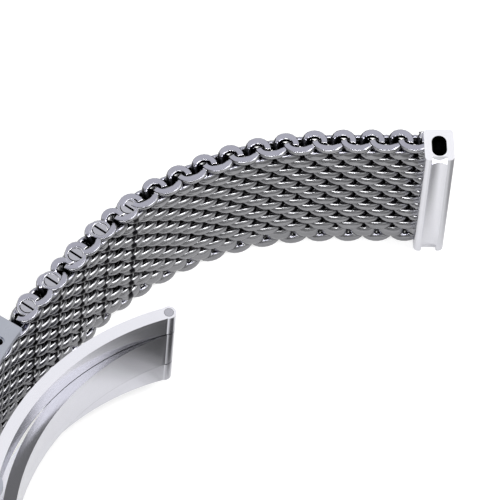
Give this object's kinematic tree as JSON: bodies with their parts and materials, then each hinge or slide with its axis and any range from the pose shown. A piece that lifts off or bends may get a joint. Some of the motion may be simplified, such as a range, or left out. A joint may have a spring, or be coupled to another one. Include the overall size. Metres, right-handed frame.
{
  "type": "link watch bracelet",
  "caption": "Heavy woven-mesh steel watch bracelet with screwed removable links, straight end pieces and a folding two-leaf clasp.",
  "frame": {"origin": "middle of the spring bar bore in the upper end piece, halfway across the band", "axes": "+Z across the band, which stands on its edge; +X from the wrist space towards the watch; +Y out of the wrist at the upper end piece"},
  "size_m": [0.0686, 0.0925, 0.022],
  "materials": {
    "woven_steel": "drawn wire, bright, rubbed",
    "link_steel": "satin with polished bevels",
    "screw_steel": "polished",
    "spring_steel": "drawn",
    "brushed_steel": "brushed along the band",
    "leaf_steel": "satin, polished edges",
    "end_piece_steel": "satin"
  },
  "bodies": {
    "clasp_cover": {"clasp_cover": "brushed_steel", "cover_hinge_pins": "screw_steel", "adjuster_bar_sleeve": "screw_steel", "adjuster_bar_spring": "spring_steel"},
    "adjuster_tip_top": {"adjuster_tip_top": "screw_steel"},
    "adjuster_tip_bottom": {"adjuster_tip_bottom": "screw_steel"},
    "adjuster_tang": {"adjuster_tang": "woven_steel", "upper_screw_5": "screw_steel"},
    "upper_link_1": {"upper_link_1": "link_steel", "upper_screw_1": "screw_steel"},
    "upper_link_2": {"upper_link_2": "link_steel", "upper_screw_2": "screw_steel"},
    "upper_link_3": {"upper_link_3": "link_steel", "upper_screw_3": "screw_steel"},
    "upper_link_4": {"upper_link_4": "link_steel", "upper_screw_4": "screw_steel"},
    "upper_mesh_1": {"upper_mesh_1": "woven_steel"},
    "upper_mesh_2": {"upper_mesh_2": "woven_steel"},
    "upper_mesh_3": {"upper_mesh_3": "woven_steel"},
    "upper_mesh_4": {"upper_mesh_4": "woven_steel"},
    "upper_mesh_5": {"upper_mesh_5": "woven_steel"},
    "upper_mesh_6": {"upper_mesh_6": "woven_steel"},
    "upper_end_piece": {"upper_end_piece": "end_piece_steel"},
    "frame_leaf": {"frame_leaf": "leaf_steel", "fold_pin": "screw_steel"},
    "tongue_leaf": {"tongue_leaf": "leaf_steel"},
    "lower_link_1": {"lower_link_1": "link_steel", "lower_screw_1": "screw_steel"},
    "lower_link_2": {"lower_link_2": "link_steel", "lower_screw_2": "screw_steel"},
    "lower_link_3": {"lower_link_3": "link_steel", "lower_screw_3": "screw_steel"},
    "lower_link_4": {"lower_link_4": "link_steel", "lower_screw_4": "screw_steel"},
    "lower_mesh_5": {"lower_mesh_5": "woven_steel", "lower_screw_5": "screw_steel"},
    "lower_mesh_4": {"lower_mesh_4": "woven_steel"},
    "lower_mesh_3": {"lower_mesh_3": "woven_steel"},
    "lower_mesh_2": {"lower_mesh_2": "woven_steel"},
    "lower_mesh_1": {"lower_mesh_1": "woven_steel"},
    "lower_end_piece": {"lower_end_piece": "end_piece_steel"}
  },
  "joints": [
    {"name": "adjuster_bar_turn", "type": "hinge", "parent": "clasp_cover", "child": "adjuster_tang", "pos_m": [-0.06282, -0.04174, 0], "axis": [0, 0, -1], "range_deg": [-1, 8]},
    {"name": "adjuster_tip_top_push", "type": "slide", "parent": "clasp_cover", "child": "adjuster_tip_top", "axis": [0, 0, -1], "range_m": [0, 0.0011], "stiffness_N_per_m": 60, "deforming": ["adjuster_bar_spring"]},
    {"name": "adjuster_tip_bottom_push", "type": "slide", "parent": "clasp_cover", "child": "adjuster_tip_bottom", "axis": [0, 0, 1], "range_m": [0, 0.0011], "stiffness_N_per_m": 60},
    {"name": "upper_link_4_turn", "type": "hinge", "parent": "adjuster_tang", "child": "upper_link_4", "pos_m": [-0.05476, -0.02483, 0], "axis": [0, 0, -1], "range_deg": [-13, 19]},
    {"name": "upper_link_3_turn", "type": "hinge", "parent": "upper_link_4", "child": "upper_link_3", "pos_m": [-0.05155, -0.02087, 0], "axis": [0, 0, -1], "range_deg": [-12, 20]},
    {"name": "upper_link_2_turn", "type": "hinge", "parent": "upper_link_3", "child": "upper_link_2", "pos_m": [-0.04834, -0.0169, 0], "axis": [0, 0, -1], "range_deg": [-13, 19]},
    {"name": "upper_link_1_turn", "type": "hinge", "parent": "upper_link_2", "child": "upper_link_1", "pos_m": [-0.04506, -0.01299, 0], "axis": [0, 0, -1], "range_deg": [-19, 13]},
    {"name": "upper_mesh_6_turn", "type": "hinge", "parent": "upper_link_1", "child": "upper_mesh_6", "pos_m": [-0.04133, -0.00952, 0], "axis": [0, 0, -1], "range_deg": [-15, 17]},
    {"name": "upper_mesh_5_flex", "type": "hinge", "parent": "upper_mesh_6", "child": "upper_mesh_5", "pos_m": [-0.03842, -0.00707, 0], "axis": [0, 0, -1], "range_deg": [-29, 11]},
    {"name": "upper_mesh_4_flex", "type": "hinge", "parent": "upper_mesh_5", "child": "upper_mesh_4", "pos_m": [-0.0319, -0.00316, 0], "axis": [0, 0, -1], "range_deg": [-30, 10]},
    {"name": "upper_mesh_3_flex", "type": "hinge", "parent": "upper_mesh_4", "child": "upper_mesh_3", "pos_m": [-0.02481, -0.00044, 0], "axis": [0, 0, -1], "range_deg": [-31, 9]},
    {"name": "upper_mesh_2_flex", "type": "hinge", "parent": "upper_mesh_3", "child": "upper_mesh_2", "pos_m": [-0.01732, 0.00088, 0], "axis": [0, 0, -1], "range_deg": [-29.5, 10.5]},
    {"name": "upper_mesh_1_flex", "type": "hinge", "parent": "upper_mesh_2", "child": "upper_mesh_1", "pos_m": [-0.00972, 0.00095, 0], "axis": [0, 0, -1], "range_deg": [-20.5, 19.5]},
    {"name": "upper_end_piece_flex", "type": "hinge", "parent": "upper_mesh_1", "child": "upper_end_piece", "pos_m": [-0.00213, 0.00095, 0], "axis": [0, 0, -1], "range_deg": [-15, 15]},
    {"name": "frame_leaf_open", "type": "hinge", "parent": "clasp_cover", "child": "frame_leaf", "pos_m": [-0.0603, -0.05173, 0], "axis": [0, 0, -1], "range_deg": [-13, 130]},
    {"name": "tongue_leaf_open", "type": "hinge", "parent": "frame_leaf", "child": "tongue_leaf", "pos_m": [-0.03625, -0.02373, 0], "axis": [0, 0, 1], "range_deg": [-5, 50]},
    {"name": "lower_link_1_turn", "type": "hinge", "parent": "tongue_leaf", "child": "lower_link_1", "pos_m": [-0.05694, -0.06799, 0], "axis": [0, 0, 1], "range_deg": [-20, 12]},
    {"name": "lower_link_2_turn", "type": "hinge", "parent": "lower_link_1", "child": "lower_link_2", "pos_m": [-0.0545, -0.07247, 0], "axis": [0, 0, 1], "range_deg": [-20, 12]},
    {"name": "lower_link_3_turn", "type": "hinge", "parent": "lower_link_2", "child": "lower_link_3", "pos_m": [-0.05146, -0.07657, 0], "axis": [0, 0, 1], "range_deg": [-20, 12]},
    {"name": "lower_link_4_turn", "type": "hinge", "parent": "lower_link_3", "child": "lower_link_4", "pos_m": [-0.04788, -0.0802, 0], "axis": [0, 0, 1], "range_deg": [-20, 12]},
    {"name": "lower_mesh_5_turn", "type": "hinge", "parent": "lower_link_4", "child": "lower_mesh_5", "pos_m": [-0.04382, -0.08329, 0], "axis": [0, 0, 1], "range_deg": [-21, 11]},
    {"name": "lower_mesh_4_flex", "type": "hinge", "parent": "lower_mesh_5", "child": "lower_mesh_4", "pos_m": [-0.04048, -0.0851, 0], "axis": [0, 0, 1], "range_deg": [-31, 9]},
    {"name": "lower_mesh_3_flex", "type": "hinge", "parent": "lower_mesh_4", "child": "lower_mesh_3", "pos_m": [-0.03323, -0.08737, 0], "axis": [0, 0, 1], "range_deg": [-31, 9]},
    {"name": "lower_mesh_2_flex", "type": "hinge", "parent": "lower_mesh_3", "child": "lower_mesh_2", "pos_m": [-0.02568, -0.08822, 0], "axis": [0, 0, 1], "range_deg": [-31, 9]},
    {"name": "lower_mesh_1_flex", "type": "hinge", "parent": "lower_mesh_2", "child": "lower_mesh_1", "pos_m": [-0.0181, -0.08761, 0], "axis": [0, 0, 1], "range_deg": [-30, 10]},
    {"name": "lower_end_piece_flex", "type": "hinge", "parent": "lower_mesh_1", "child": "lower_end_piece", "pos_m": [-0.01075, -0.08569, 0], "axis": [0, 0, 1], "range_deg": [-20, 10]}
  ],
  "couplings": [
    {"joint": "tongue_leaf_open", "follows": "frame_leaf_open", "ratio": 0.38461}
  ]
}
